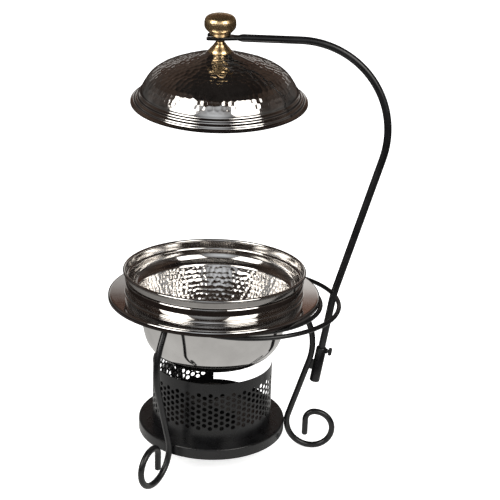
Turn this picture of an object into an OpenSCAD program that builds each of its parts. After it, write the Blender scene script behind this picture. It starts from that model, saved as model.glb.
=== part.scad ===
// Soup kettle on a wrought stand, with a hanging lid and a burner in a wind guard.
// The origin is on the bowl's axis at floor level; +X points to the lid pole, +Z is up.

/* [Stand] */
// Diameter of the leg and ring rods
leg_rod_d = 9.5; // [8:0.5:11]
// Radius of the ring that carries the bowl, to the middle of its rod
ring_r = 127; // [126:1:128]
// Diameter of the two pole guide rods
guide_rod_d = 7; // [5:0.5:8]
// Radius of the round base plate
plate_r = 116; // [112:1:118]
// Height of the base plate's top face
plate_top = 50.5; // [46:0.5:54]
// Height of the base plate's skirt
plate_h = 17; // [10:1:20]
// Sheet thickness of the base plate
plate_t = 1.5; // [1:0.1:2.5]

/* [Pole] */
// Diameter of the pole
pole_d = 11.2; // [10:0.1:12]
// Lean of the pole's foot away from the bowl, in degrees
pole_lean = 8.5; // [6:0.5:10]
// Extra lean of the pole's long straight run, in degrees
pole_extra_lean = 7; // [4:0.5:9]
// Radius of the pole's big top bend
pole_bend_r = 133; // [120:1:140]

/* [Bowls] */
// Outer radius of the brim
brim_r = 162.7; // [158:0.1:166]
// Height of the brim's top face
brim_z = 262.5; // [260:0.5:264]
// Outer radius of the food pan's rolled rim
pan_r = 140; // [138:0.5:142]
// Height of the food pan's rim
pan_z = 301; // [298:0.5:304]
// Sheet thickness of the bowls and the lid
sheet_t = 1.2; // [1:0.1:1.4]

/* [Lid] */
// Outer radius of the lid's flange
lid_r = 130.4; // [128:0.1:132]
// Tilt of the hanging lid towards the front, in degrees
lid_tilt = 9; // [0:0.5:12]
// Radius of the brass knob
knob_r = 23; // [20:0.5:25]

/* [Burner] */
// Outer radius of the wind guard
guard_r = 94; // [90:0.5:96]
// Height of the wind guard
guard_h = 98; // [90:1:99]
// Diameter of the guard's holes
guard_hole_d = 7; // [5:0.5:7.5]
// Outer radius of the burner cup
cup_r = 40; // [34:1:44]
// Height of the burner cup
cup_h = 34; // [28:1:38]

/* [Hidden] */
$fn = 96;

// Seat heights and small gaps
seat_gap = 0.1;
run_gap = 0.3;

// Facets of a bent rod: sides round it, and the most degrees of a bend in one step
rod_sides = 12;
bend_facet = 9;

// Legs: the scroll from its free end to the lowest point, then up to the plate, the shin and the thigh
foot_flat = 0.3;
shin_lean = 17;
shin_l = 98;
calf_bend_r = 95;
thigh_lean = 28;
thigh_l = 35;
foot_bend_r = 36;
foot_half_turn = 15;
scroll_to_floor = [[27, 0], [14.5, -90], [28.5, -90], [31, foot_half_turn - 90]];
scroll_to_plate = [42, foot_half_turn - 90];
leg_path = concat(
  scroll_to_floor,
  [[foot_bend_r, -2 * foot_half_turn], scroll_to_plate + [0, -shin_lean]],
  [[shin_l, 0], [calf_bend_r, shin_lean + thigh_lean], [thigh_l, 0]]
);
half_foot = [foot_bend_r, -foot_half_turn];
floor_shift = path_shift(concat(scroll_to_floor, [half_foot]));
plate_shift = path_shift(concat(scroll_to_floor, [half_foot, half_foot, scroll_to_plate]));
leg_start = [plate_r + leg_rod_d / 2 + plate_shift[1], leg_rod_d / 2 - foot_flat - floor_shift[0]];
leg_angles = [0, 242.5, 120];

// Ring and guides
ring_z = brim_z - sheet_t - leg_rod_d / 2 - seat_gap;
guide_z = ring_z - leg_rod_d / 2 - guide_rod_d / 2;
inner_guide_r = 129;
inner_guide_x = 35.5;
inner_guide_open = 100;
outer_guide_r = 145;
outer_guide_x = 47.7;
outer_guide_open = 121;

// Pole: the foot's place and the path from the foot to the fork
pole_foot = [161.9, 122];
pole_foot_l = 134;
pole_small_bend_r = 200;
socket_bore_d = pole_d + 0.16;
socket_d = 16;
socket_l = 55;
socket_floor = 3;
screw_z = socket_l - 5;
screw_d = 5;
pole_slope = pole_lean + pole_extra_lean;

// Lid: heights along the lid's own axis, above the flange's edge
neck_h = 95;
neck_r = 6.4;
fork_t = 4.5;
fork_w = 24.6;
fork_root_x = 32;
fork_tip_x = -19;
knob_seat_h = neck_h + fork_t / 2 + seat_gap;
cone_h = 74.3;
cone_top_h = 89;
lid_pivot_z = 650;
lid_hole_r = screw_d / 2 + 0.5;
lid_boss_r = 17;

// The pole's arm lies at the height of the knob's neck
arm_z = lid_pivot_z;
foot_top = pole_foot + pole_foot_l * [sin(pole_lean), cos(pole_lean)];
bend_top = foot_top + pole_small_bend_r
  * [cos(pole_lean) - cos(pole_slope), sin(pole_slope) - sin(pole_lean)];
top_bend_rise = pole_bend_r * (1 + sin(pole_slope));
pole_run_l = (arm_z - top_bend_rise - bend_top[1]) / cos(pole_slope);
arm_start_x = bend_top[0] + pole_run_l * sin(pole_slope) - pole_bend_r * cos(pole_slope);
pole_pin_l = 60;
pole_path = [
  [pole_foot_l - pole_pin_l + 2, 0], [pole_small_bend_r, -pole_extra_lean], [pole_run_l, 0],
  [pole_bend_r, 90 + pole_slope], [arm_start_x - fork_root_x, 0]
];

// Bowls
brim_edge_h = 7.5;
brim_edge_r = 3;
neck_in_r = 119.5;
bath_corner = [60, 206];
bath_corner_r = 47.5;
pan_bead_r = 2.6;
collar_top = 285.5;
collar_in_r = 133.2;
pan_corner = [57, 219];
pan_corner_r = 44;

// Wind guard: a rolled sheet, drawn as flat facets that each hold one column of holes
guard_t = 1.2;
guard_columns = 66;
guard_step = 360 / guard_columns;
guard_pitch = 9.2;
guard_rows = 7;
guard_band = 20;
door_from = 0;
door_to = 17 * guard_step;
door_sill = 17;
door_border = 9;

// Burner
cup_t = 1;
cup_z = plate_top;
burner_mouth_r = 24;
rivet_r = 2.5;
rivet_at = [0, -31];
damper_r = 27;
damper_t = 1.2;
damper_arm_l = 42;

BLACK = "#1c1c1d";
STEEL = "#b9b6b2";
BRASS = "#c79a4b";

// ---- Shared shapes ----

// Points along an arc of a circle
function arc(c, r, a0, a1, n = 12) = [
  for (i = [0:n]) c + r * [cos(a0 + (a1 - a0) * i / n), sin(a0 + (a1 - a0) * i / n)]
];

function unit(v) = v / norm(v);

function left_of(v) = [-v[1], v[0]];

function path_normal(p, i) = unit(left_of(unit(p[min(i + 1, len(p) - 1)] - p[max(i - 1, 0)])));

// A closed outline of sheet metal: the path and its copy one thickness to the left
function sheet_outline(p, t) = concat(p, [for (i = [len(p) - 1:-1:0]) p[i] + t * path_normal(p, i)]);

// Sheet metal spun about the Z axis
module spun_sheet(p, t) {
  rotate_extrude($fn = 180) polygon(sheet_outline(p, t));
}

// How far a bent rod gets, forwards and to its left, as it takes its steps
function step_shift(step, heading) = step[1] == 0
  ? step[0] * [cos(heading), sin(heading)]
  : sign(step[1]) * step[0]
    * [sin(heading + step[1]) - sin(heading), cos(heading) - cos(heading + step[1])];

function path_shift(steps, heading = 0, i = 0) = i == len(steps)
  ? [0, 0]
  : step_shift(steps[i], heading) + path_shift(steps, heading + steps[i][1], i + 1);

// Places along one step, as [point, heading], without the step's own start
function step_places(step, from, heading) =
  let (n = step[1] == 0 ? 1 : ceil(abs(step[1]) / bend_facet))
  [for (i = [1:n]) let (part = step[1] == 0 ? step : [step[0], step[1] * i / n])
    [from + step_shift(part, heading), heading + part[1]]];

function rod_places(steps, from = [0, 0], heading = 0, i = 0) = i == len(steps)
  ? []
  : concat(
      step_places(steps[i], from, heading),
      rod_places(steps, from + step_shift(steps[i], heading), heading + steps[i][1], i + 1)
    );

function rod_ring(place, d) = [
  for (k = [0:rod_sides - 1]) let (a = 360 * k / rod_sides, out = d / 2 * cos(a))
    [place[0][0] - out * sin(place[1]), d / 2 * sin(a), place[0][1] + out * cos(place[1])]
];

function ring_faces(i) = [
  for (k = [0:rod_sides - 1]) let (a = i * rod_sides, next = (k + 1) % rod_sides)
    [a + k, a + next, a + rod_sides + next, a + rod_sides + k]
];

// A round rod in the XZ plane that starts along +X. Each step is a straight run [length, 0]
// or a bend [radius, angle], where a positive angle turns the rod upwards.
module bent_rod(steps, d) {
  places = concat([[[0, 0], 0]], rod_places(steps));
  last = len(places) - 1;
  polyhedron(
    points = [for (place = places) each rod_ring(place, d)],
    faces = concat(
      [[for (k = [rod_sides - 1:-1:0]) k]],
      [for (i = [0:last - 1]) each ring_faces(i)],
      [[for (k = [0:rod_sides - 1]) last * rod_sides + k]]
    )
  );
}

// An arc of rod that lies flat, open on its left side
module flat_arc_rod(x, r, half_angle, z, d) {
  translate([x, 0, z]) rotate([0, 0, -half_angle])
    rotate_extrude(angle = 2 * half_angle, $fn = 180) translate([r, 0]) circle(d = d, $fn = 48);
}

// Places its children in the hanging lid's own frame
module on_lid_axis() {
  translate([0, 0, lid_pivot_z]) rotate([lid_tilt, 0, 0]) translate([0, 0, -neck_h]) children();
}

// Places its children along the pole foot's axis, with Z up the pole and X away from the bowl
module on_foot_axis() {
  translate([pole_foot[0], 0, pole_foot[1]]) rotate([0, pole_lean, 0]) children();
}

// ---- Stand ----

module support_ring() {
  color(BLACK) translate([0, 0, ring_z])
    rotate_extrude($fn = 180) translate([ring_r, 0]) circle(d = leg_rod_d, $fn = 48);
}

module leg(angle) {
  color(BLACK) rotate([0, 0, angle]) difference() {
    translate([leg_start[0], 0, leg_start[1]]) rotate([0, -90, 0]) bent_rod(leg_path, leg_rod_d);
    translate([leg_start[0], 0, -leg_rod_d]) cube([200, 2 * leg_rod_d, 2 * leg_rod_d], center = true);
  }
}

module inner_pole_guide() {
  color(BLACK) flat_arc_rod(inner_guide_x, inner_guide_r, inner_guide_open, guide_z, guide_rod_d);
}

module outer_pole_guide() {
  color(BLACK) flat_arc_rod(outer_guide_x, outer_guide_r, outer_guide_open, guide_z, guide_rod_d);
}

module base_plate() {
  round_r = 2.5;
  side = concat(
    [[plate_r, plate_top - plate_h]],
    arc([plate_r - round_r, plate_top - round_r], round_r, 0, 90, 6),
    [[0, plate_top]]
  );
  color(BLACK) spun_sheet(side, plate_t);
}

// ---- Pole ----

module pole_socket() {
  lug_z = 24;
  lug_w = 9;
  lug_h = 16;
  color(BLACK) on_foot_axis() difference() {
    union() {
      translate([0, 0, -socket_floor]) cylinder(d = socket_d, h = socket_l + socket_floor);
      translate([-lug_w, 0, lug_z]) cube([lug_w, 5, lug_h], center = true);
    }
    cylinder(d = socket_bore_d, h = socket_l + 1);
    translate([0, 0, screw_z]) rotate([0, 90, 0]) cylinder(d = screw_d + 2 * run_gap, h = socket_d);
  }
}

module socket_nut() {
  nut_t = 2.4;
  color(BLACK) on_foot_axis() translate([socket_d / 2 - 0.2, 0, screw_z]) rotate([0, 90, 0]) difference() {
    cylinder(d = 9, h = nut_t, $fn = 6);
    translate([0, 0, -1]) cylinder(d = screw_d + 0.1, h = nut_t + 2);
  }
}

module thumb_screw() {
  shank_from = pole_d / 2 + 0.2;
  shank_l = 5.2;
  collar_l = 1.5;
  wing = [13, 3, 5.5];
  color(BLACK) on_foot_axis() translate([shank_from, 0, screw_z]) rotate([0, 90, 0]) {
    cylinder(d = screw_d, h = shank_l);
    translate([0, 0, shank_l]) cylinder(d = 7, h = collar_l);
    translate([-wing[0] / 2, -wing[1] / 2, shank_l + collar_l / 2]) cube(wing);
  }
}

module hanger_pole() {
  skin = 0.04;
  color(BLACK) on_foot_axis() {
    cylinder(d = pole_d, h = pole_pin_l);
    translate([0, 0, pole_pin_l - 2]) rotate([0, -90, 0]) bent_rod(pole_path, pole_d - skin);
  }
}

module pole_fork() {
  slot_r = neck_r + 0.4;
  root_w = pole_d;
  color(BLACK) translate([0, 0, lid_pivot_z]) rotate([lid_tilt, 0, 0]) translate([0, 0, -fork_t / 2])
    linear_extrude(fork_t) difference() {
      union() {
        circle(d = fork_w);
        translate([fork_tip_x, -fork_w / 2]) square([-fork_tip_x, fork_w]);
        polygon([
          [0, -root_w], [fork_root_x, -root_w / 2], [fork_root_x, root_w / 2], [0, root_w]
        ]);
      }
      circle(r = slot_r);
      translate([fork_tip_x - 1, -slot_r]) square([1 - fork_tip_x, 2 * slot_r]);
    }
}

// ---- Lid ----

module lid_dome() {
  dome = [
    [lid_r, 0], [lid_r - 0.3, 1.4], [127, 2], [124.5, 4.2], [123.8, 6.6], [120.5, 8],
    [119, 10.2], [118.4, 12.6], [116.2, 14], [115, 17], [112, 23], [108.2, 29.5],
    [103.6, 35.6], [98.5, 40.4], [92.5, 44.6], [85.8, 48.2], [77.5, 51.8], [68.5, 55],
    [60, 58.3], [50, 61.4], [40, 64.6], [30, 68.4], [23, 71.6], [lid_boss_r, cone_h], [lid_hole_r, cone_h]
  ];
  color(STEEL) on_lid_axis() spun_sheet(dome, sheet_t);
}

module knob_cone() {
  side = [
    [lid_boss_r, 0], [lid_boss_r, 1.2], [14.6, 4.2], [11.8, 7], [9.6, 9.8], [8, 12.3],
    [neck_r, cone_top_h - cone_h]
  ];
  color(BRASS) on_lid_axis() translate([0, 0, cone_h]) rotate_extrude()
    polygon(concat(side, [[lid_hole_r, cone_top_h - cone_h], [lid_hole_r, 0]]));
}

module knob_cap() {
  seat = knob_seat_h;
  side = concat(
    [[neck_r, cone_top_h], [neck_r, seat], [13, seat], [14.6, seat + 1.4], [16.6, seat + 5.2]],
    [[19.6, seat + 8.6], [22.2, seat + 11.6]],
    [[knob_r, seat + 14.5], [knob_r, seat + 20]],
    arc([knob_r - 7, seat + 22], 7, 0, 75, 6),
    [[8, seat + 30.6], [0, seat + 31.4]]
  );
  bore_top = seat + 8;
  color(BRASS) on_lid_axis() difference() {
    rotate_extrude() polygon(concat(side, [[0, cone_top_h]]));
    translate([0, 0, cone_top_h - 1]) cylinder(d = screw_d + 0.1, h = bore_top - cone_top_h + 1);
  }
}

module knob_screw() {
  head_h = 3;
  shank_top = knob_seat_h + 6;
  under = cone_h - sheet_t - 1.5;
  color(STEEL) on_lid_axis() {
    translate([0, 0, under - head_h]) cylinder(d = 9, h = head_h);
    translate([0, 0, under - head_h]) cylinder(d = screw_d, h = shank_top - under + head_h);
  }
}

module knob_washer() {
  color(STEEL) on_lid_axis() translate([0, 0, cone_h - sheet_t - 1.5]) difference() {
    cylinder(r = 9, h = 1.5);
    translate([0, 0, -1]) cylinder(r = screw_d / 2 + 0.2, h = 4);
  }
}

// ---- Bowls ----

module water_pan() {
  wall_angle = -11.6;
  inside = concat(
    [[brim_r, brim_z - brim_edge_h]],
    arc([brim_r - brim_edge_r, brim_z - brim_edge_r], brim_edge_r, 0, 90, 6),
    arc([neck_in_r + brim_edge_r, brim_z - brim_edge_r], brim_edge_r, 90, 180, 6),
    arc(bath_corner, bath_corner_r, wall_angle, -90, 16),
    [[0, bath_corner[1] - bath_corner_r]]
  );
  color(STEEL) spun_sheet(inside, sheet_t);
}

module neck_collar() {
  foot_r = 3.4;
  band_r = 30.6;
  outside = concat(
    arc([138, brim_z + seat_gap + foot_r], foot_r, -90, -180, 6),
    arc([106, 276.5], band_r, -18, 14, 8),
    [[136.9, collar_top - 1], [136.3, collar_top], [collar_in_r + 0.4, collar_top]]
  );
  color(STEEL) rotate_extrude($fn = 180)
    polygon(concat(outside, [[collar_in_r, collar_top - 0.6], [collar_in_r, brim_z + seat_gap]]));
}

module food_pan() {
  wall_angle = -17.8;
  ledge = collar_top + seat_gap + sheet_t;
  cove_r = 19;
  inside = concat(
    [[pan_r - 4, pan_z - 1.5], [134.6, ledge + 2.2]],
    arc([133.2, ledge + 1.4], 1.4, 0, -90, 4),
    arc([131.6, ledge - 1], 1, 90, 180, 4),
    arc([130.6 - cove_r, ledge - 5], cove_r, 0, -68, 8),
    [[117, 261.5]],
    arc(pan_corner, pan_corner_r, wall_angle, -90, 16),
    [[0, pan_corner[1] - pan_corner_r]]
  );
  color(STEEL) union() {
    spun_sheet(inside, sheet_t);
    rotate_extrude($fn = 180) translate([pan_r - pan_bead_r, pan_z - pan_bead_r]) circle(pan_bead_r, $fn = 24);
  }
}

// ---- Burner ----

module guard_ring(r, h) {
  edge = [for (i = [0:guard_columns - 1]) (r / cos(guard_step / 2))
    * [cos((i + 0.5) * guard_step), sin((i + 0.5) * guard_step)]];
  linear_extrude(h) polygon(edge);
}

module guard_column_holes(column) {
  rise = column % 2 == 0 ? 0 : guard_pitch / 2;
  rows = column % 2 == 0 ? guard_rows : guard_rows - 1;
  for (row = [0:rows - 1]) rotate([0, 0, column * guard_step])
    translate([guard_r - 4, 0, guard_band + guard_hole_d / 2 + rise + row * guard_pitch])
      rotate([0, 90, 0]) cylinder(d = guard_hole_d, h = 8, $fn = 24);
}

module wind_guard() {
  holes_from = ceil((door_to + door_border) / guard_step);
  holes_to = floor((door_from + 360 - door_border) / guard_step);
  door = [for (a = [0:15:90]) 150 * [cos(door_from + a * (door_to - door_from) / 90),
    sin(door_from + a * (door_to - door_from) / 90)]];
  color(BLACK) translate([0, 0, plate_top]) difference() {
    guard_ring(guard_r, guard_h);
    translate([0, 0, -1]) guard_ring(guard_r - guard_t, guard_h + 2);
    translate([0, 0, door_sill]) linear_extrude(guard_h) polygon(concat([[0, 0]], door));
    for (column = [holes_from:holes_to]) guard_column_holes(column);
  }
}

module burner_cup() {
  color(STEEL) translate([0, 0, cup_z]) difference() {
    cylinder(r = cup_r, h = cup_h);
    translate([0, 0, cup_t]) cylinder(r = cup_r - cup_t, h = cup_h);
  }
}

module burner_top() {
  lip = 1.2;
  color(STEEL) translate([0, 0, cup_z + cup_h]) difference() {
    cylinder(r = cup_r + lip, h = cup_t);
    translate([0, 0, -1]) cylinder(r = burner_mouth_r, h = cup_t + 2);
    translate([rivet_at[0], rivet_at[1], -1]) cylinder(r = rivet_r, h = cup_t + 2);
  }
}

module burner_damper() {
  handle_w = 7;
  color(STEEL) translate([rivet_at[0], rivet_at[1], cup_z + cup_h + cup_t + seat_gap]) difference() {
    union() {
      translate([-rivet_at[1], 0, 0]) cylinder(r = damper_r, h = damper_t);
      cylinder(r = 6, h = damper_t);
      translate([0, -6, 0]) cube([20, 12, damper_t]);
      translate([-rivet_at[1], -handle_w / 2, 0]) cube([damper_arm_l, handle_w, damper_t]);
    }
    translate([0, 0, -1]) cylinder(r = rivet_r + 0.08, h = damper_t + 2);
  }
}

module damper_rivet() {
  color(STEEL) translate([rivet_at[0], rivet_at[1], cup_z + cup_h - 1]) {
    cylinder(r = rivet_r, h = cup_t + damper_t + 1 + 2 * seat_gap);
    translate([0, 0, cup_t + damper_t + 1 + 2 * seat_gap]) cylinder(r = 4.2, h = 1.2);
  }
}

support_ring();
leg(leg_angles[0]);  // leg_right
leg(leg_angles[1]);  // leg_front_left
leg(leg_angles[2]);  // leg_back_left
inner_pole_guide();
outer_pole_guide();
base_plate();
pole_socket();
socket_nut();
thumb_screw();
hanger_pole();
pole_fork();
lid_dome();
knob_cone();
knob_cap();
knob_screw();
knob_washer();
water_pan();
neck_collar();
food_pan();
wind_guard();
burner_cup();
burner_top();
burner_damper();
damper_rivet();
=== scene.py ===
import math

import bmesh
import bpy
import numpy as np
from mathutils import Matrix, Vector
from mathutils.kdtree import KDTree


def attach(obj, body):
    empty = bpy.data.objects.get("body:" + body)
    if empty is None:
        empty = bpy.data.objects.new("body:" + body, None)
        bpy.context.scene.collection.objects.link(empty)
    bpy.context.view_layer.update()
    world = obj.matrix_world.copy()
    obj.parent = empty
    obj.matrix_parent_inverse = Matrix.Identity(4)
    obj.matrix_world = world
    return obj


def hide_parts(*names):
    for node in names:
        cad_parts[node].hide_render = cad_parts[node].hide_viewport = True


# Soup kettle with a hanging lid. Shapes are worked out in millimetres and placed in metres.
MM = 0.001

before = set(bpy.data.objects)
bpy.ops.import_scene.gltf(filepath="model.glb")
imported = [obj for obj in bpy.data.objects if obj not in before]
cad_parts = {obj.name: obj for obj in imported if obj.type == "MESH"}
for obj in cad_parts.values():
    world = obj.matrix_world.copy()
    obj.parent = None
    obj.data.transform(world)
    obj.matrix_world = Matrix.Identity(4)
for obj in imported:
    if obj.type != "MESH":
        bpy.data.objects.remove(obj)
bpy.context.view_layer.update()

# ---- Driving dimensions, the same as the CAD part's ----

LEG_ROD_D = 9.5
GUIDE_ROD_D = 7
POLE_D = 11.2
RING_R = 127
RING_Z = 256.45
GUIDE_Z = 248.2
PLATE_R = 116
PLATE_TOP = 50.5
PLATE_H = 17
PLATE_T = 1.5
BRIM_R = 162.7
BRIM_Z = 262.5
FOOT_PLAY = 0.1
PAN_R = 140
PAN_Z = 301
SHEET_T = 1.2
DIMPLE_D = 8.6
DIMPLE_DEPTH = 0.55
HAMMERED_COLUMNS = 540
LID_TILT = 9
LID_PIVOT_Z = 650
NECK_H = 95
KNOB_R = 23
GUARD_R = 94
GUARD_H = 98
GUARD_T = 1.2
FORK_T = 4.5
POLE_FOOT = (161.9, 122)
POLE_LEAN = 8.5
LEG_ANGLES = {"leg_right": 0, "leg_front_left": 242.5, "leg_back_left": 120}


def on_fork():
    """The place of the fork: where the lid's neck hangs, leaning towards the front."""
    return Matrix.Translation((0, 0, LID_PIVOT_Z)) @ Matrix.Rotation(math.radians(LID_TILT), 4, "X")


def on_lid_axis():
    """The place of the lid, whose heights count from its lower edge."""
    return on_fork() @ Matrix.Translation((0, 0, -NECK_H))


def on_foot_axis():
    """The place of the pole's foot, which leans outwards in its socket."""
    lean = Matrix.Rotation(math.radians(POLE_LEAN), 4, "Y")
    return Matrix.Translation((POLE_FOOT[0], 0, POLE_FOOT[1])) @ lean


# ---- Materials ----

def new_material(name):
    """A material with its nodes, its links and its shader."""
    material = bpy.data.materials.new(name)
    material.use_nodes = True
    nodes = material.node_tree.nodes
    return material, nodes, material.node_tree.links, nodes["Principled BSDF"]


def noise(nodes, links, scale, detail=3.0, stretch=None):
    """Noise in the object's own coordinates, stretched along some axes if asked."""
    place = nodes.new("ShaderNodeTexCoord")
    source = place.outputs["Object"]
    if stretch:
        mapping = nodes.new("ShaderNodeMapping")
        mapping.inputs["Scale"].default_value = stretch
        links.new(source, mapping.inputs["Vector"])
        source = mapping.outputs["Vector"]
    texture = nodes.new("ShaderNodeTexNoise")
    texture.inputs["Scale"].default_value = scale
    texture.inputs["Detail"].default_value = detail
    links.new(source, texture.inputs["Vector"])
    return texture.outputs["Fac"]


def spread(nodes, links, source, low, high):
    """Maps a noise value onto the range from low to high."""
    ranged = nodes.new("ShaderNodeMapRange")
    ranged.inputs["From Min"].default_value = 0.3
    ranged.inputs["From Max"].default_value = 0.7
    ranged.inputs["To Min"].default_value = low
    ranged.inputs["To Max"].default_value = high
    links.new(source, ranged.inputs["Value"])
    return ranged.outputs["Result"]


def colour_ramp(nodes, links, source, stops):
    """Turns a value into a colour, from stops of (position, colour)."""
    ramp = nodes.new("ShaderNodeValToRGB")
    elements = ramp.color_ramp.elements
    for i, (position, colour) in enumerate(stops):
        stop = elements[i] if i < 2 else elements.new(position)
        stop.position = position
        stop.color = (*colour, 1)
    links.new(source, ramp.inputs["Fac"])
    return ramp.outputs["Color"]


def tint(nodes, links, source, dark, light):
    """Colours a noise value from dark to light."""
    return colour_ramp(nodes, links, source, ((0.3, dark), (0.7, light)))


def average(nodes, links, first, second):
    """The mean of two values."""
    total = nodes.new("ShaderNodeMath")
    total.operation = "MULTIPLY_ADD"
    total.inputs[1].default_value = 0.5
    half = nodes.new("ShaderNodeMath")
    half.operation = "MULTIPLY"
    half.inputs[1].default_value = 0.5
    links.new(first, total.inputs[0])
    links.new(second, half.inputs[0])
    links.new(half.outputs["Value"], total.inputs[2])
    return total.outputs["Value"]


def mirrored_only(nodes, links, plain, mirrored, output):
    """Gives polished metal another shader to mirror than the plain one, which all else sees."""
    path = nodes.new("ShaderNodeLightPath")
    mix = nodes.new("ShaderNodeMixShader")
    links.new(path.outputs["Is Glossy Ray"], mix.inputs["Fac"])
    links.new(plain, mix.inputs[1])
    links.new(mirrored, mix.inputs[2])
    links.new(mix.outputs["Shader"], output.inputs["Surface"])


def bump(nodes, links, shader, height, distance, strength):
    """Roughens a shader's surface, with the distance in metres."""
    node = nodes.new("ShaderNodeBump")
    node.inputs["Strength"].default_value = strength
    node.inputs["Distance"].default_value = distance
    links.new(height, node.inputs["Height"])
    links.new(node.outputs["Normal"], shader.inputs["Normal"])


def metal(name, dark, light, smooth, rough, grain=900, grain_depth=0.000003):
    """Metal with cloudy polish, fine rub marks and a slight change of colour."""
    material, nodes, links, shader = new_material(name)
    shader.inputs["Metallic"].default_value = 1.0
    clouds = noise(nodes, links, 24)
    rubs = noise(nodes, links, grain, 2.0, (1, 1, 0.15))
    wear = average(nodes, links, clouds, rubs)
    links.new(tint(nodes, links, clouds, dark, light), shader.inputs["Base Color"])
    links.new(spread(nodes, links, wear, smooth, rough), shader.inputs["Roughness"])
    bump(nodes, links, shader, rubs, grain_depth, 0.15)
    return material


def powder_coat(name):
    """Satin black powder coat with a fine orange-peel skin and dust-dulled patches."""
    material, nodes, links, shader = new_material(name)
    clouds = noise(nodes, links, 40)
    peel = noise(nodes, links, 1400, 2.0)
    coat = tint(nodes, links, clouds, (0.0022, 0.0022, 0.0025), (0.0055, 0.0055, 0.006))
    links.new(coat, shader.inputs["Base Color"])
    links.new(spread(nodes, links, clouds, 0.22, 0.34), shader.inputs["Roughness"])
    shader.inputs["Specular IOR Level"].default_value = 0.5
    bump(nodes, links, shader, peel, 0.00012, 0.35)
    return material


STEEL = metal("polished_steel", (0.56, 0.54, 0.52), (0.68, 0.66, 0.64), 0.03, 0.10)
HAMMERED = metal("hammered_steel", (0.58, 0.56, 0.54), (0.72, 0.70, 0.68), 0.05, 0.13, 700)
BOWL_STEEL = metal("bowl_steel", (0.58, 0.57, 0.56), (0.70, 0.69, 0.68), 0.04, 0.08)
# Steel darkened to near black as painted shade, for the shade inside the wind guard; the knob's washer and
# screw share it.
SHADE_DARKENED_STEEL = metal("shade_darkened_steel", (0.05, 0.05, 0.05), (0.09, 0.088, 0.085), 0.34, 0.50)
BRASS = metal("brass", (0.62, 0.41, 0.20), (0.90, 0.66, 0.37), 0.16, 0.32, 800, 0.00002)
BLACK = powder_coat("black_powder_coat")


# ---- Mesh helpers ----

CREASE = math.radians(40)
CORNER = math.radians(50)
# A turned piece without a hole starts this close to its axis, in millimetres.
AXIS = 0.01
SAME_PLACE = 0.001 * MM


def add_piece(name, body, material, points, faces, matrix=Matrix.Identity(4), replaced=()):
    """Makes a piece from points in millimetres, which rides on its body and may replace CAD nodes."""
    mesh = bpy.data.meshes.new(name)
    mesh.from_pydata([matrix @ Vector(p) * MM for p in points], [], faces)
    work = bmesh.new()
    work.from_mesh(mesh)
    bmesh.ops.remove_doubles(work, verts=work.verts, dist=SAME_PLACE)
    bmesh.ops.recalc_face_normals(work, faces=work.faces)
    work.to_mesh(mesh)
    work.free()
    piece = bpy.data.objects.new(name, mesh)
    bpy.context.scene.collection.objects.link(piece)
    mesh.materials.append(material)
    mesh.shade_smooth()
    mesh.set_sharp_from_angle(angle=CREASE)
    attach(piece, body)
    if replaced:
        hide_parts(*replaced)
    return piece


def apply_modifiers(piece):
    """Bakes a piece's modifiers into its mesh."""
    evaluated = piece.evaluated_get(bpy.context.evaluated_depsgraph_get())
    baked = bpy.data.meshes.new_from_object(evaluated)
    piece.modifiers.clear()
    piece.data = baked


def arc(centre, radius, start, end, steps):
    """Points along an arc of a circle, with its angles in degrees."""
    angles = [math.radians(start + (end - start) * i / steps) for i in range(steps + 1)]
    return [(centre[0] + radius * math.cos(a), centre[1] + radius * math.sin(a)) for a in angles]


def smooth_curve(points, steps=8):
    """A Catmull-Rom curve through the points."""
    p = np.array([points[0], *points, points[-1]], float)
    t = np.arange(steps)[:, None] / steps
    curve = []
    for a, b, c, d in zip(p[:-3], p[1:-2], p[2:-1], p[3:]):
        bend = 2 * b + (c - a) * t + (2 * a - 5 * b + 4 * c - d) * t**2 + (3 * b - a - 3 * c + d) * t**3
        curve.extend(bend / 2)
    return [*curve, points[-1]]


def resample(path, step):
    """The same path in even steps of about that length."""
    path = np.array(path, float)
    run = np.concatenate([[0], np.cumsum(np.linalg.norm(np.diff(path, axis=0), axis=1))])
    count = max(2, round(run[-1] / step) + 1)
    places = np.linspace(0, run[-1], count)
    return np.column_stack([np.interp(places, run, path[:, i]) for i in (0, 1)])


def left_normals(path):
    """The direction to the left of the path at each of its points."""
    along = np.gradient(path, axis=0)
    along /= np.linalg.norm(along, axis=1)[:, None]
    return np.column_stack([-along[:, 1], along[:, 0]])


def ring_faces(rows, columns, closed_rows):
    """Quads of a grid whose columns close on themselves, and whose rows may."""
    faces = []
    for i in range(rows if closed_rows else rows - 1):
        j = (i + 1) % rows
        for k in range(columns):
            n = (k + 1) % columns
            faces.append((i * columns + k, i * columns + n, j * columns + n, j * columns + k))
    return faces


def end_caps(count, sides):
    """One face at each end of a skin of that many points."""
    return [tuple(range(sides)), tuple(range(count - sides, count))]


def spin(profile, columns):
    """Points of a profile, as (radius, height), spun about the Z axis."""
    turn = np.arange(columns) * 2 * math.pi / columns
    radius = profile[..., 0].reshape(len(profile), -1)
    height = profile[..., 1].reshape(len(profile), -1) + np.zeros(columns)
    return np.stack([radius * np.cos(turn), radius * np.sin(turn), height], axis=-1).reshape(-1, 3)


def lathe(name, body, material, profile, matrix=Matrix.Identity(4), replaced=(), columns=96):
    """A turned piece: a closed profile of (radius, height) points, spun about the Z axis."""
    profile = np.array(profile, float)
    faces = ring_faces(len(profile), columns, True)
    return add_piece(name, body, material, spin(profile, columns), faces, matrix, replaced)


def fade_in(distance, width):
    """0 up to a distance of 0, then an even rise to 1 over the width."""
    return min(1, max(0, distance / width))


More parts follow.
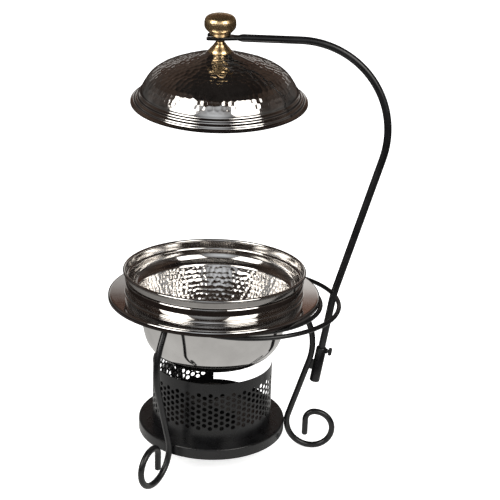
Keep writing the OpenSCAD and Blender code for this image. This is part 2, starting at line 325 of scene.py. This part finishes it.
def hammer_marks(path, columns, zone, size, depth, seed):
    """How deep each point of a spun path is hammered: overlapping round dimples, side by side."""
    rng = np.random.default_rng(seed)
    inside = np.array([zone(r, z) for r, z in path])
    centres = []
    for r, z in resample(path[inside > 0], size * 0.87):
        count = max(1, round(2 * math.pi * r / size))
        phase = rng.uniform(0, 2 * math.pi)
        for k in range(count):
            angle = phase + (k + rng.uniform(-0.3, 0.3)) * 2 * math.pi / count
            drift = rng.uniform(-0.25, 0.25) * size / 2
            centres.append(((r + drift) * math.cos(angle), (r + drift) * math.sin(angle), z + drift))
    tree = KDTree(len(centres))
    for i, centre in enumerate(centres):
        tree.insert(centre, i)
    tree.balance()
    dimple_r = 0.68 * size
    marks = np.zeros(len(path) * columns)
    for i, point in enumerate(spin(path, columns)):
        share = inside[i // columns]
        if share > 0:
            marks[i] = share * depth * (1 - min(1, tree.find(point)[2] / dimple_r) ** 2)
    return marks.reshape(len(path), columns)


def spun_sheet(name, body, material, path, step, columns, hammer=None, matrix=Matrix.Identity(4),
               replaced=(), thickness=SHEET_T):
    """Sheet metal spun about the Z axis, with its thickness to the left of the path.
    It may have hammer marks: (zone, size, depth, seed)."""
    path = resample(path, step)
    across = left_normals(path)
    marks = hammer_marks(path, columns, *hammer) if hammer else np.zeros((len(path), 1))
    near = path[:, None, :] + across[:, None, :] * marks[:, :, None]
    far = near + across[:, None, :] * thickness
    loop = np.concatenate([near, far[::-1]])
    loop[..., 0] = np.maximum(loop[..., 0], 0)
    faces = ring_faces(len(loop), columns, True)
    return add_piece(name, body, material, spin(loop, columns), faces, matrix, replaced)


# ---- Bent rods ----

def ahead(place, distance):
    """The place that far straight ahead of another."""
    forward, left, heading = place
    a = math.radians(heading)
    return forward + distance * math.cos(a), left + distance * math.sin(a), heading


def walk(steps):
    """Places along a bent rod, as (forward, left, heading). A step is a run (length, 0) or a bend
    (radius, angle), which goes left when its angle is over 0."""
    places = [(0.0, 0.0, 0.0)]
    for size, bend in steps:
        x, y, heading = places[-1]
        if bend == 0:
            places.append(ahead(places[-1], size))
            continue
        count = max(1, math.ceil(abs(bend) / 3))
        side = math.copysign(size, bend)
        a = math.radians(heading)
        for i in range(1, count + 1):
            turned = heading + bend * i / count
            b = math.radians(turned)
            forward = x + side * (math.sin(b) - math.sin(a))
            left = y + side * (math.cos(a) - math.cos(b))
            places.append((forward, left, turned))
    return places


PRESSED_BULGE = 0.12
NOSE_L = 2.4
NOSE = [(0.0, 0.35), (0.12, 0.62), (0.4, 0.85), (0.75, 0.97), (1.0, 1.0)]


def rounded_ends(places, radius):
    """Gives each place its ring's radius, with a soft nose of shrinking rings at both ends."""
    head = [(*ahead(places[0], NOSE_L * along), radius * share) for along, share in NOSE]
    tail = [(*ahead(places[-1], -NOSE_L * along), radius * share) for along, share in reversed(NOSE)]
    return [*head, *[(*place, radius) for place in places[1:-1]], *tail]


def pressed_shares(rings, length):
    """How far each ring is pressed flat: 0 up to the last stretch of that length, and 1 at the end."""
    places = np.array([ring[:2] for ring in rings])
    rise = np.maximum(0, 1 - np.linalg.norm(places[-1] - places, axis=1) / length)
    return rise**2 * (3 - 2 * rise)


def rod(name, body, steps, diameter, origin, matrix, replaced, pressed=None):
    """A round bent rod in the XZ plane that starts upwards, with soft ends. Its left side faces -X.
    Its last stretch may be pressed flat: (length, thickness). It is flat where it meets the floor."""
    sides = 24
    rings = rounded_ends(walk(steps), diameter / 2)
    shares = pressed_shares(rings, pressed[0]) if pressed else np.zeros(len(rings))
    lost = 1 - pressed[1] / diameter if pressed else 0
    points = []
    for (forward, left, heading, radius), flat in zip(rings, shares):
        a = math.radians(heading)
        for t in np.arange(sides) * 2 * math.pi / sides:
            out = (1 - flat * lost) * radius * math.cos(t)
            along = forward - out * math.sin(a)
            aside = left + out * math.cos(a)
            wide = radius * math.sin(t) * (1 + PRESSED_BULGE * flat)
            points.append((origin[0] - aside, wide, max(origin[1] + along, 0)))
    faces = ring_faces(len(rings), sides, False) + end_caps(len(points), sides)
    return add_piece(name, body, BLACK, points, faces, matrix, replaced)


def flat_arc(name, body, centre_x, radius, half_angle, height, diameter, replaced):
    """A rod bent to an arc that lies flat, or to a whole ring when its half angle is 180."""
    sides = 20
    count = 144
    whole = half_angle == 180
    soft_end = (0.6, 0.93)
    angles = np.radians(np.linspace(-half_angle, half_angle, count, endpoint=not whole))
    points = []
    for i, a in enumerate(angles):
        to_end = min(i, count - 1 - i)
        ring = diameter / 2 * (1 if whole or to_end > 1 else soft_end[to_end])
        for t in np.arange(sides) * 2 * math.pi / sides:
            out = radius + ring * math.cos(t)
            points.append((centre_x + out * math.cos(a), out * math.sin(a), height + ring * math.sin(t)))
    faces = ring_faces(count, sides, whole)
    if not whole:
        faces += end_caps(len(points), sides)
    return add_piece(name, body, BLACK, points, faces, replaced=replaced)


def weld_bead(name, body, centre, size, seed):
    """A small lumpy weld where two rods meet."""
    rng = np.random.default_rng(seed)
    rows, columns = 14, 20
    points = []
    for i in range(rows):
        tip = math.pi * (i + 0.5) / rows
        for k in range(columns):
            turn = 2 * math.pi * k / columns
            swell = 1 + 0.10 * math.sin(3 * turn + 2 * tip) + rng.uniform(-0.04, 0.04)
            points.append((
                centre[0] + size[0] * swell * math.sin(tip) * math.cos(turn),
                centre[1] + size[1] * swell * math.sin(tip) * math.sin(turn),
                centre[2] + size[2] * swell * math.cos(tip),
            ))
    faces = ring_faces(rows, columns, False) + end_caps(len(points), columns)
    return add_piece(name, body, BLACK, points, faces)


# ---- Plates cut from an outline ----

def plate(name, body, material, outline, bottom, thickness, edge, matrix, replaced=()):
    """A flat plate cut to an outline of (x, y) points, with its edges softened over a width of edge."""
    count = len(outline)
    points = [(x, y, bottom) for x, y in outline] + [(x, y, bottom + thickness) for x, y in outline]
    faces = [tuple(range(count)), tuple(range(count, 2 * count))]
    faces += [(i, (i + 1) % count, count + (i + 1) % count, count + i) for i in range(count)]
    piece = add_piece(name, body, material, points, faces, matrix, replaced)
    bevel = piece.modifiers.new("soft edge", "BEVEL")
    bevel.width = edge * MM
    bevel.segments = 3
    bevel.limit_method = "ANGLE"
    bevel.angle_limit = CORNER
    apply_modifiers(piece)
    return piece


# ---- Stand ----

SCROLL_TO_FLOOR = [(27, 0), (14.5, -90), (28.5, -90), (31, -75)]
SCROLL_TO_PLATE = (42, -75)
FOOT_BEND_R = 36
SHIN_LEAN = 17
FOOT_FLAT = 0.3
LEG_PATH = [
    *SCROLL_TO_FLOOR, (FOOT_BEND_R, -30), (SCROLL_TO_PLATE[0], SCROLL_TO_PLATE[1] - SHIN_LEAN),
    (98, 0), (95, SHIN_LEAN + 28), (35, 0),
]
HALF_FOOT = (FOOT_BEND_R, -15)
LOWEST = walk([*SCROLL_TO_FLOOR, HALF_FOOT])[-1]
TO_PLATE = walk([*SCROLL_TO_FLOOR, HALF_FOOT, HALF_FOOT, SCROLL_TO_PLATE])[-1]
LEG_START = (PLATE_R + LEG_ROD_D / 2 + TO_PLATE[1], LEG_ROD_D / 2 - FOOT_FLAT - LOWEST[0])
LEG_WELDS = {
    "ring": ((RING_R + 2, 0, RING_Z - 2), (5.2, 5.6, 4.2)),
    "plate": ((PLATE_R + 0.6, 0, PLATE_TOP - 3), (3.2, 4.6, 3.4)),
}
GUIDES = {"inner": (35.5, 129, 100), "outer": (47.7, 145, 121)}


def make_legs():
    for seed, (name, angle) in enumerate(LEG_ANGLES.items()):
        turn = Matrix.Rotation(math.radians(angle), 4, "Z")
        rod(f"{name}_rod", "stand", LEG_PATH, LEG_ROD_D, LEG_START, turn, [name])
        for place, (centre, size) in LEG_WELDS.items():
            weld_bead(f"{name}_{place}_weld", "stand", turn @ Vector(centre), size, seed)


def make_ring_and_guides():
    flat_arc("support_ring_rod", "stand", 0, RING_R, 180, RING_Z, LEG_ROD_D, ["support_ring"])
    for name, (centre_x, radius, half_angle) in GUIDES.items():
        flat_arc(f"{name}_guide_rod", "stand", centre_x, radius, half_angle, GUIDE_Z, GUIDE_ROD_D,
                 [f"{name}_pole_guide"])


def make_base_plate():
    round_r = 2.5
    corner = (PLATE_R - round_r, PLATE_TOP - round_r)
    side = [(PLATE_R, PLATE_TOP - PLATE_H), *arc(corner, round_r, 0, 90, 8), (0, PLATE_TOP)]
    spun_sheet("base_plate_sheet", "stand", BLACK, side, 1.0, 160, replaced=["base_plate"],
               thickness=PLATE_T)


# ---- Pole ----

SOCKET_L = 55
SOCKET_R = 8
SCREW_Z = SOCKET_L - 5
SCREW_R = 2.5
FORK_W = 24.6
FORK_ROOT_X = 32
FORK_TIP_X = -19
FORK_SLOT_R = 6.8
POLE_BEND_R = 133
POLE_SMALL_BEND_R = 200
POLE_EXTRA_LEAN = 7
POLE_FOOT_L = 134
POLE_PAST_ROOT = 14
PRESSED_L = 16
PRESSED_STEP = 2
PRESSED_STEPS = 13


def pole_path():
    """The pole's steps from its foot to a little past the fork's root. The last are short, for the press."""
    lean = math.radians(POLE_LEAN)
    slope = math.radians(POLE_LEAN + POLE_EXTRA_LEAN)
    foot_x = POLE_FOOT[0] + POLE_FOOT_L * math.sin(lean)
    foot_z = POLE_FOOT[1] + POLE_FOOT_L * math.cos(lean)
    bend_x = foot_x + POLE_SMALL_BEND_R * (math.cos(lean) - math.cos(slope))
    bend_z = foot_z + POLE_SMALL_BEND_R * (math.sin(slope) - math.sin(lean))
    run = (LID_PIVOT_Z - POLE_BEND_R * (1 + math.sin(slope)) - bend_z) / math.cos(slope)
    arm = bend_x + run * math.sin(slope) - POLE_BEND_R * math.cos(slope) - FORK_ROOT_X
    return [(POLE_FOOT_L, 0), (POLE_SMALL_BEND_R, -POLE_EXTRA_LEAN), (run, 0),
            (POLE_BEND_R, 90 + POLE_LEAN + POLE_EXTRA_LEAN),
            (arm + POLE_PAST_ROOT - PRESSED_STEPS * PRESSED_STEP, 0), *[(PRESSED_STEP, 0)] * PRESSED_STEPS]


def make_pole():
    rod("pole_rod", "pole", pole_path(), POLE_D, (0, 0), on_foot_axis(), ["hanger_pole"],
        (PRESSED_L, FORK_T + 0.5))
    slot = arc((0, 0), FORK_SLOT_R, 90, -90, 20)
    tip = FORK_W / 2
    corner = 3
    outline = [
        (FORK_TIP_X, -FORK_SLOT_R), *arc((FORK_TIP_X + corner, -tip + corner), corner, 180, 270, 5),
        *arc((0, 0), tip, -90, -62, 6), (FORK_ROOT_X, -POLE_D / 2), (FORK_ROOT_X, POLE_D / 2),
        *arc((0, 0), tip, 62, 90, 6), *arc((FORK_TIP_X + corner, tip - corner), corner, 90, 180, 5),
        (FORK_TIP_X, FORK_SLOT_R), *slot,
    ]
    plate("fork_plate", "pole", BLACK, outline, -FORK_T / 2, FORK_T, 0.9, on_fork(), ["pole_fork"])


def on_screw_axis():
    """The place of the clamp screw, which points outwards from the pole's axis."""
    return on_foot_axis() @ Matrix.Translation((0, 0, SCREW_Z)) @ Matrix.Rotation(math.pi / 2, 4, "Y")


def make_socket():
    bore = POLE_D / 2 + 0.08
    outer = SOCKET_R
    floor_t = 3
    wall = [(bore, 0), (bore, SOCKET_L - 0.6), (bore + 0.4, SOCKET_L), (outer - 0.6, SOCKET_L),
            (outer, SOCKET_L - 0.8), (outer, 0.8 - floor_t), (outer - 0.8, -floor_t), (AXIS, -floor_t),
            (AXIS, 0)]
    lathe("socket_tube", "stand", BLACK, wall, on_foot_axis(), ["pole_socket"], 48)
    lug = [(-12.5, -2.5), (-7, -2.5), (-7, 2.5), (-12.5, 2.5)]
    plate("socket_lug", "stand", BLACK, lug, 16, 16, 0.8, on_foot_axis())
    thread = SCREW_R + 0.05
    nut = [(thread, outer - 0.2), (4.5, outer - 0.2), (4.5, outer + 1.8), (4.1, outer + 2.2),
           (thread, outer + 2.2)]
    lathe("socket_nut_hex", "stand", BLACK, nut, on_screw_axis(), ["socket_nut"], 6)


def make_thumb_screw():
    tip = POLE_D / 2 + 0.2
    neck = 11
    shank = [(AXIS, tip), (SCREW_R, tip), (SCREW_R, neck), (3.2, neck), (3.5, neck + 0.3), (3.5, neck + 1.2),
             (3.2, neck + 1.5), (AXIS, neck + 1.5)]
    lathe("thumb_screw_shank", "clamp_screw", BLACK, shank, on_screw_axis(), ["thumb_screw"], 40)
    half_wing = [(6.5, 11.8), (6.5, 15.4), (5.4, 16.8), (3, 17.2)]
    wing = [(-half_wing[0][0], half_wing[0][1]), *half_wing, *[(-x, y) for x, y in half_wing[:0:-1]]]
    upright = on_screw_axis() @ Matrix.Rotation(math.pi / 2, 4, "X")
    plate("thumb_screw_wing", "clamp_screw", BLACK, wing, -1.5, 3, 0.6, upright)


# ---- Lid ----

LID_BOSS_R = 17
LID_HOLE_R = 3
CONE_H = 74.3
CONE_TOP_H = 89
NECK_R = 6.4
KNOB_SEAT_H = NECK_H + FORK_T / 2 + 0.1
LID_PATH = [
    (130.4, 0), (130.1, 1.4), (127, 2.2), (124.6, 3.4), (124, 5.6), (122.8, 7.4), (119.9, 8.4),
    (119, 10.2), (118.6, 12.4), (117.2, 13.8), (115.4, 15), (114.4, 18), (112, 23), (108.2, 29.5),
    (103.6, 35.6), (98.5, 40.4), (92.5, 44.6), (85.8, 48.2), (77.5, 51.6), (69.5, 54.4), (67.5, 55.4),
    (60, 58.3), (50, 61.4), (40, 64.6), (30, 68.4), (23, 71.6), (LID_BOSS_R, CONE_H),
    (LID_HOLE_R, CONE_H),
]


def lid_zone(r, z):
    """1 where the lid is hammered, fading out at the lower band and at the boss."""
    return fade_in(113.5 - r, 3) * fade_in(r - 20, 4)


def make_lid():
    lid = on_lid_axis()
    screw_r = 2.5
    marks = (lid_zone, DIMPLE_D, DIMPLE_DEPTH, 11)
    spun_sheet("lid_shell", "lid", HAMMERED, smooth_curve(LID_PATH), 1.1, HAMMERED_COLUMNS, marks, lid,
               ["lid_dome"])
    cone = [(LID_HOLE_R, 0), (LID_BOSS_R - 0.5, 0), (LID_BOSS_R, 0.5), (LID_BOSS_R - 0.2, 1.2), (14.6, 4.2),
            (11.8, 7), (9.6, 9.8), (8, 12.3), (NECK_R + 0.4, 13.4), (NECK_R, CONE_TOP_H - CONE_H),
            (LID_HOLE_R, CONE_TOP_H - CONE_H)]
    lathe("knob_base", "lid", BRASS, cone, lid @ Matrix.Translation((0, 0, CONE_H)), ["knob_cone"])
    washer_t = 1.5
    head = Matrix.Translation((0, 0, CONE_H - SHEET_T - washer_t))
    washer = [(2.7, 0.2), (8.7, 0), (9, 0.3), (9, washer_t - 0.3), (8.7, washer_t), (2.7, washer_t - 0.1)]
    lathe("knob_washer_disc", "lid", SHADE_DARKENED_STEEL, washer, lid @ head, ["knob_washer"], 64)
    screw = [(AXIS, -3), (3.6, -3), (4.5, -2.1), (4.5, 0), (screw_r, 0), (screw_r, 30), (AXIS, 30)]
    lathe("knob_screw_pin", "lid", SHADE_DARKENED_STEEL, screw, lid @ head, ["knob_screw"], 48)


def knob_profile():
    """The knob's outline from its neck, which hangs in the fork, up to the middle of its cap."""
    seat = KNOB_SEAT_H
    side = [(12.6, seat), (13.6, seat + 0.5), (14.6, seat + 1.6), (16.4, seat + 5.2), (19.4, seat + 8.6),
            (21.9, seat + 11.4), (22.9, seat + 14.2), (KNOB_R, seat + 17), (22.9, seat + 20.4),
            (22, seat + 24), (19.8, seat + 27), (16.2, seat + 29), (11, seat + 30.2), (5, seat + 31),
            (AXIS, seat + 31.3)]
    return [(NECK_R, CONE_TOP_H), (NECK_R, seat), *smooth_curve(side, 5)]


def knob_zone(r, z):
    """1 on the knob's widest band, which is hammered."""
    rise = z - KNOB_SEAT_H
    return fade_in(rise - 10.5, 1.5) * fade_in(26.5 - rise, 2)


def make_knob():
    marks = (knob_zone, 3.2, 0.3, 5)
    spun_sheet("knob_body", "lid", BRASS, knob_profile(), 0.6, 200, marks, on_lid_axis(), ["knob_cap"],
               thickness=2)


# ---- Bowls ----

NECK_IN_R = 119.5
BATH_CORNER = (60, 206)
BATH_CORNER_R = 47.5
PAN_BEAD_R = 2.6
COLLAR_TOP = 285.5
COLLAR_IN_R = 133.2
PAN_CORNER = (57, 219)
PAN_CORNER_R = 44


def make_water_pan():
    edge_r = 3
    inside = [
        (BRIM_R, BRIM_Z - 7.5), *arc((BRIM_R - edge_r, BRIM_Z - edge_r), edge_r, 0, 90, 8),
        *arc((NECK_IN_R + edge_r, BRIM_Z - edge_r), edge_r, 90, 180, 8),
        *arc(BATH_CORNER, BATH_CORNER_R, -11.6, -90, 24), (0, BATH_CORNER[1] - BATH_CORNER_R),
    ]
    spun_sheet("water_pan_shell", "water_bath", BOWL_STEEL, inside, 1.2, 240, replaced=["water_pan"])


def make_collar():
    foot = BRIM_Z + FOOT_PLAY
    foot_r = 3.4
    outside = [
        *arc((138, foot + foot_r), foot_r, -90, -180, 8), *arc((106, 276.5), 30.6, -18, 14, 14),
        (136.9, COLLAR_TOP - 1), (136.3, COLLAR_TOP), (COLLAR_IN_R + 0.4, COLLAR_TOP),
        (COLLAR_IN_R, COLLAR_TOP - 0.6), (COLLAR_IN_R, foot),
    ]
    lathe("collar_band", "water_bath", STEEL, outside, replaced=["neck_collar"], columns=240)


def pan_zone(r, z):
    """1 where the soup pan is hammered, from below the rim's cove to near its middle."""
    return fade_in(262.5 - z, 3) * fade_in(r, 6)


def make_food_pan():
    ledge = COLLAR_TOP + FOOT_PLAY + SHEET_T
    cove_r = 19
    inside = [
        (PAN_R - 4, PAN_Z - 1.5), (134.6, ledge + 2.2), *arc((133.2, ledge + 1.4), 1.4, 0, -90, 4),
        *arc((131.6, ledge - 1), 1, 90, 180, 4), *arc((130.6 - cove_r, ledge - 5), cove_r, 0, -68, 14),
        (117, 261.5), *arc(PAN_CORNER, PAN_CORNER_R, -17.8, -90, 24), (0, PAN_CORNER[1] - PAN_CORNER_R),
    ]
    marks = (pan_zone, DIMPLE_D, DIMPLE_DEPTH, 23)
    spun_sheet("food_pan_shell", "soup_pan", HAMMERED, inside, 1.2, HAMMERED_COLUMNS, marks,
               replaced=["food_pan"])
    bead = arc((PAN_R - PAN_BEAD_R, PAN_Z - PAN_BEAD_R), PAN_BEAD_R, 0, 345, 23)
    lathe("food_pan_rim", "soup_pan", STEEL, bead, columns=240)


# ---- Burner ----

GUARD_COLUMNS = 66
GUARD_PITCH = 9.2
GUARD_ROWS = 7
GUARD_HOLE_R = 3.5
GUARD_FIRST = 18.9
DOOR_SILL = 17
DOOR_FIRST = 0
DOOR_LAST = 17
PLAIN_COLUMNS = (18, 65)
CELL_W = 2 * math.pi * GUARD_R / GUARD_COLUMNS


class FlatSheet:
    """A flat pattern of quads round punched holes, which is then rolled to a cylinder."""

    def __init__(self):
        self.points = []
        self.faces = []

    def strip(self, left, levels, parts=range(4)):
        """A plain column of the pattern, or some of its four parts, split at each level."""
        for low, high in zip(levels[:-1], levels[1:]):
            for part in parts:
                x = left + part * CELL_W / 4
                base = len(self.points)
                self.points += [(x, low), (x + CELL_W / 4, low), (x + CELL_W / 4, high), (x, high)]
                self.faces.append((base, base + 1, base + 2, base + 3))

    def hole(self, left, bottom):
        """One cell of the pattern with a round hole in its middle."""
        right = left + CELL_W
        top = bottom + GUARD_PITCH
        corners = [(left, bottom), (right, bottom), (right, top), (left, top)]
        border = []
        for a, b in zip(corners, corners[1:] + corners[:1]):
            border += [(a[0] + (b[0] - a[0]) * i / 4, a[1] + (b[1] - a[1]) * i / 4) for i in range(4)]
        mid_x, mid_z = left + CELL_W / 2, bottom + GUARD_PITCH / 2
        base = len(self.points)
        self.points += border
        for x, z in border:
            a = math.atan2(z - mid_z, x - mid_x)
            self.points.append((mid_x + GUARD_HOLE_R * math.cos(a), mid_z + GUARD_HOLE_R * math.sin(a)))
        count = len(border)
        for i in range(count):
            n = (i + 1) % count
            self.faces.append((base + i, base + n, base + count + n, base + count + i))

    def punched_column(self, left, odd):
        """A column of holes with plain metal above and below. An odd column starts half a pitch higher."""
        quarter = GUARD_PITCH / 4
        top = GUARD_FIRST + GUARD_ROWS * GUARD_PITCH
        self.strip(left, [0, DOOR_SILL, *(GUARD_FIRST + i * quarter for i in range(2 * odd + 1))])
        self.strip(left, [*(top - i * quarter for i in range(2 * odd, -1, -1)), GUARD_H])
        for row in range(GUARD_ROWS - odd):
            self.hole(left, GUARD_FIRST + row * GUARD_PITCH + odd * GUARD_PITCH / 2)


def guard_pattern():
    """The wind guard's flat pattern, with its door cut down to a sill."""
    sheet = FlatSheet()
    quarter = GUARD_PITCH / 4
    sill = [0, DOOR_SILL]
    tall = [*sill, *(GUARD_FIRST + i * quarter for i in range(4 * GUARD_ROWS + 1)), GUARD_H]
    left_half, right_half = (0, 1), (2, 3)
    for column in range(GUARD_COLUMNS):
        left = (column - 0.5) * CELL_W
        if DOOR_FIRST < column < DOOR_LAST:
            sheet.strip(left, sill)
        elif column == DOOR_FIRST:
            sheet.strip(left, sill, right_half)
            sheet.strip(left, tall, left_half)
        elif column == DOOR_LAST:
            sheet.strip(left, sill, left_half)
            sheet.strip(left, tall, right_half)
        elif column in PLAIN_COLUMNS:
            sheet.strip(left, tall)
        else:
            sheet.punched_column(left, column % 2)
    return sheet


def make_wind_guard():
    sheet = guard_pattern()
    rolled = [(GUARD_R * math.cos(x / GUARD_R), GUARD_R * math.sin(x / GUARD_R), PLATE_TOP + z)
              for x, z in sheet.points]
    guard = add_piece("wind_guard_sheet", "stand", BLACK, rolled, sheet.faces, replaced=["wind_guard"])
    skin = guard.modifiers.new("thickness", "SOLIDIFY")
    skin.thickness = GUARD_T * MM
    skin.offset = -1
    apply_modifiers(guard)
    guard.data.set_sharp_from_angle(angle=CREASE)


CUP_H = 34
CUP_R = 40
MOUTH_R = 24
RIVET = (0, -31)
DAMPER_R = 27
DAMPER_EAR_R = 6
HANDLE_END = 73
HANDLE_W = 7


def make_burner():
    top = PLATE_TOP + CUP_H
    # The cup, its top ring and the damper are near black as painted shade inside the guard.
    cup = [(AXIS, PLATE_TOP), (CUP_R - 1.5, PLATE_TOP), (CUP_R, PLATE_TOP + 1.5), (CUP_R, top),
           (CUP_R - 1, top), (CUP_R - 1, PLATE_TOP + 2), (CUP_R - 2, PLATE_TOP + 1), (AXIS, PLATE_TOP + 1)]
    lathe("burner_cup_shell", "stand", SHADE_DARKENED_STEEL, cup, replaced=["burner_cup"])
    cover = [(MOUTH_R, top + 0.2), (MOUTH_R + 0.2, top + 1), (CUP_R + 0.8, top + 1),
             (CUP_R + 1.2, top + 0.6), (CUP_R + 1.2, top), (MOUTH_R + 0.2, top)]
    lathe("burner_top_ring", "stand", SHADE_DARKENED_STEEL, cover, replaced=["burner_top"])


def make_damper():
    """The disc that swings about a rivet over the burner's mouth, with an ear at the rivet and a handle."""
    handle = math.degrees(math.asin(HANDLE_W / 2 / DAMPER_R))
    ear = math.degrees(math.asin(DAMPER_EAR_R / DAMPER_R))
    middle = (-RIVET[1], 0)
    outline = [
        *arc(middle, DAMPER_R, handle, 180 - ear, 30), *arc((0, 0), DAMPER_EAR_R, 90, 270, 12),
        *arc(middle, DAMPER_R, 180 + ear, 360 - handle, 30),
        (HANDLE_END, -HANDLE_W / 2), (HANDLE_END, HANDLE_W / 2),
    ]
    place = Matrix.Translation((*RIVET, PLATE_TOP + CUP_H + 1.1))
    plate("damper_disc", "damper", SHADE_DARKENED_STEEL, outline, 0, 1.2, 0.3, place, ["burner_damper"])
    rivet = [(AXIS, -2), (2.5, -2), (2.5, 1.4), (4.2, 1.4), (4.1, 2.0), (3.2, 2.5), (AXIS, 2.6)]
    lathe("damper_rivet_head", "stand", SHADE_DARKENED_STEEL, rivet, place, ["damper_rivet"], 40)


# ---- Stage, light and camera ----

# Colours of a painted reflection: the glow that metal mirrors of the floor, pale near the object and dim
# further away.
NEAR_FLOOR_PAINTED_REFLECTION = (0.66, 0.65, 0.63)
FAR_FLOOR_PAINTED_REFLECTION = (0.020, 0.015, 0.013)
# What polished metal mirrors of the room, as (height of the direction, colour). Straight up is 1.
BACK_OF_ROOM = (
    (0.0, (0.05, 0.04, 0.035)), (0.27, (0.05, 0.04, 0.035)), (0.30, (0.72, 0.70, 0.68)),
    (0.355, (0.62, 0.60, 0.58)), (0.365, (0.11, 0.058, 0.040)), (0.55, (0.045, 0.028, 0.020)),
    (0.85, (0.012, 0.010, 0.009)),
)
FRONT_OF_ROOM = (
    (0.0, (0.025, 0.020, 0.018)), (0.10, (0.070, 0.068, 0.066)), (0.34, (0.070, 0.060, 0.055)),
    (0.7, (0.050, 0.034, 0.026)), (0.9, (0.012, 0.010, 0.009)),
)
LIGHT_SPREAD = math.radians(60)
WARM = (1.0, 0.98, 0.94)
COOL = (0.88, 0.94, 1.0)
LENS = 77.88
SENSOR_W = 36
CAMERA_PLACE = (0.1071, -1.5539, 0.8652)
CAMERA_AIM = (-0.0330, 0.9452, -0.3247)
CAMERA_ROLL = 0.034


def make_floor():
    """A pale floor that ends far off. Metal mirrors it as a painted reflection: a glow, seen only by glossy
    rays, that is pale near the object and dim further away.
    """
    mesh = bpy.data.meshes.new("floor")
    half = 60
    corners = [(-half, -half, 0), (half, -half, 0), (half, half, 0), (-half, half, 0)]
    mesh.from_pydata(corners, [], [(0, 1, 2, 3)])
    floor = bpy.data.objects.new("floor", mesh)
    bpy.context.scene.collection.objects.link(floor)
    material, nodes, links, shader = new_material("pale_floor")
    shader.inputs["Base Color"].default_value = (0.9, 0.9, 0.9, 1)
    shader.inputs["Roughness"].default_value = 0.9
    shader.inputs["Emission Color"].default_value = (1, 1, 1, 1)
    shader.inputs["Emission Strength"].default_value = 0.64
    place = nodes.new("ShaderNodeTexCoord")
    reach = nodes.new("ShaderNodeVectorMath")
    reach.operation = "LENGTH"
    links.new(place.outputs["Object"], reach.inputs[0])
    # Painted reflection: a glow that fades from pale to dim with distance, seen only by glossy rays.
    fade = colour_ramp(nodes, links, reach.outputs["Value"], ((0.32, NEAR_FLOOR_PAINTED_REFLECTION), (0.75, FAR_FLOOR_PAINTED_REFLECTION)))
    painted_reflection = nodes.new("ShaderNodeEmission")
    links.new(fade, painted_reflection.inputs["Color"])
    output = nodes["Material Output"]
    mirrored_only(nodes, links, shader.outputs["BSDF"], painted_reflection.outputs["Emission"], output)
    mesh.materials.append(material)


def softbox(name, place, target_z, width, height, power, colour):
    """A rectangular light that faces the object's axis at a height and fades towards its edges."""
    light = bpy.data.lights.new(name, "AREA")
    light.shape = "RECTANGLE"
    light.size = width
    light.size_y = height
    light.energy = power
    light.color = colour
    light.spread = LIGHT_SPREAD
    lamp = bpy.data.objects.new(name, light)
    lamp.location = place
    lamp.rotation_euler = (Vector((0, 0, target_z)) - Vector(place)).to_track_quat("-Z", "Y").to_euler()
    bpy.context.scene.collection.objects.link(lamp)


def mirrored_room(nodes, links):
    """A dim warm room in patches, which has a low white backdrop behind the object."""
    place = nodes.new("ShaderNodeTexCoord")
    split = nodes.new("ShaderNodeSeparateXYZ")
    links.new(place.outputs["Generated"], split.inputs["Vector"])
    side = nodes.new("ShaderNodeMapRange")
    side.inputs["From Min"].default_value = 0.70
    side.inputs["From Max"].default_value = 0.92
    links.new(split.outputs["Y"], side.inputs["Value"])
    room = nodes.new("ShaderNodeMix")
    room.data_type = "RGBA"
    links.new(side.outputs["Result"], room.inputs["Factor"])
    links.new(colour_ramp(nodes, links, split.outputs["Z"], FRONT_OF_ROOM), room.inputs["A"])
    links.new(colour_ramp(nodes, links, split.outputs["Z"], BACK_OF_ROOM), room.inputs["B"])
    clutter = nodes.new("ShaderNodeTexNoise")
    clutter.inputs["Scale"].default_value = 3.5
    clutter.inputs["Detail"].default_value = 1.5
    links.new(place.outputs["Generated"], clutter.inputs["Vector"])
    patches = spread(nodes, links, clutter.outputs["Fac"], 0.55, 1.6)
    background = nodes.new("ShaderNodeBackground")
    links.new(room.outputs["Result"], background.inputs["Color"])
    links.new(patches, background.inputs["Strength"])
    return background.outputs["Background"]


def make_world():
    """A white studio for diffuse light, while polished metal mirrors a dim room."""
    world = bpy.data.worlds.new("studio")
    bpy.context.scene.world = world
    world.use_nodes = True
    nodes = world.node_tree.nodes
    links = world.node_tree.links
    plain = nodes["Background"]
    plain.inputs["Color"].default_value = (1, 1, 1, 1)
    plain.inputs["Strength"].default_value = 1.0
    room = mirrored_room(nodes, links)
    mirrored_only(nodes, links, plain.outputs["Background"], room, nodes["World Output"])


def make_lights():
    softbox("key_left", (-1.5, -1.3, 1.6), 0.45, 1.5, 1.6, 5.5, WARM)
    softbox("key_right", (1.3, -1.4, 1.6), 0.45, 1.4, 1.6, 4.6, WARM)
    softbox("front_fill", (-0.2, -2.6, 1.5), 0.5, 4.6, 2.2, 2.6, COOL)


def make_camera():
    """The photo's view: from the front and above, with a slight roll."""
    data = bpy.data.cameras.new("camera")
    data.lens = LENS
    data.sensor_width = SENSOR_W
    camera = bpy.data.objects.new("camera", data)
    forward = Vector(CAMERA_AIM).normalized()
    level = forward.cross(Vector((0, 0, 1))).normalized()
    up = level.cross(forward)
    right = math.cos(CAMERA_ROLL) * level + math.sin(CAMERA_ROLL) * up
    over = math.cos(CAMERA_ROLL) * up - math.sin(CAMERA_ROLL) * level
    pose = Matrix((right, over, -forward)).transposed().to_4x4()
    pose.translation = CAMERA_PLACE
    camera.matrix_world = pose
    bpy.context.scene.collection.objects.link(camera)
    bpy.context.scene.camera = camera


make_legs()
make_ring_and_guides()
make_base_plate()
make_pole()
make_socket()
make_thumb_screw()
make_lid()
make_knob()
make_water_pan()
make_collar()
make_food_pan()
make_wind_guard()
make_burner()
make_damper()
make_floor()
make_world()
make_lights()
make_camera()
bpy.context.scene.view_settings.view_transform = "Standard"
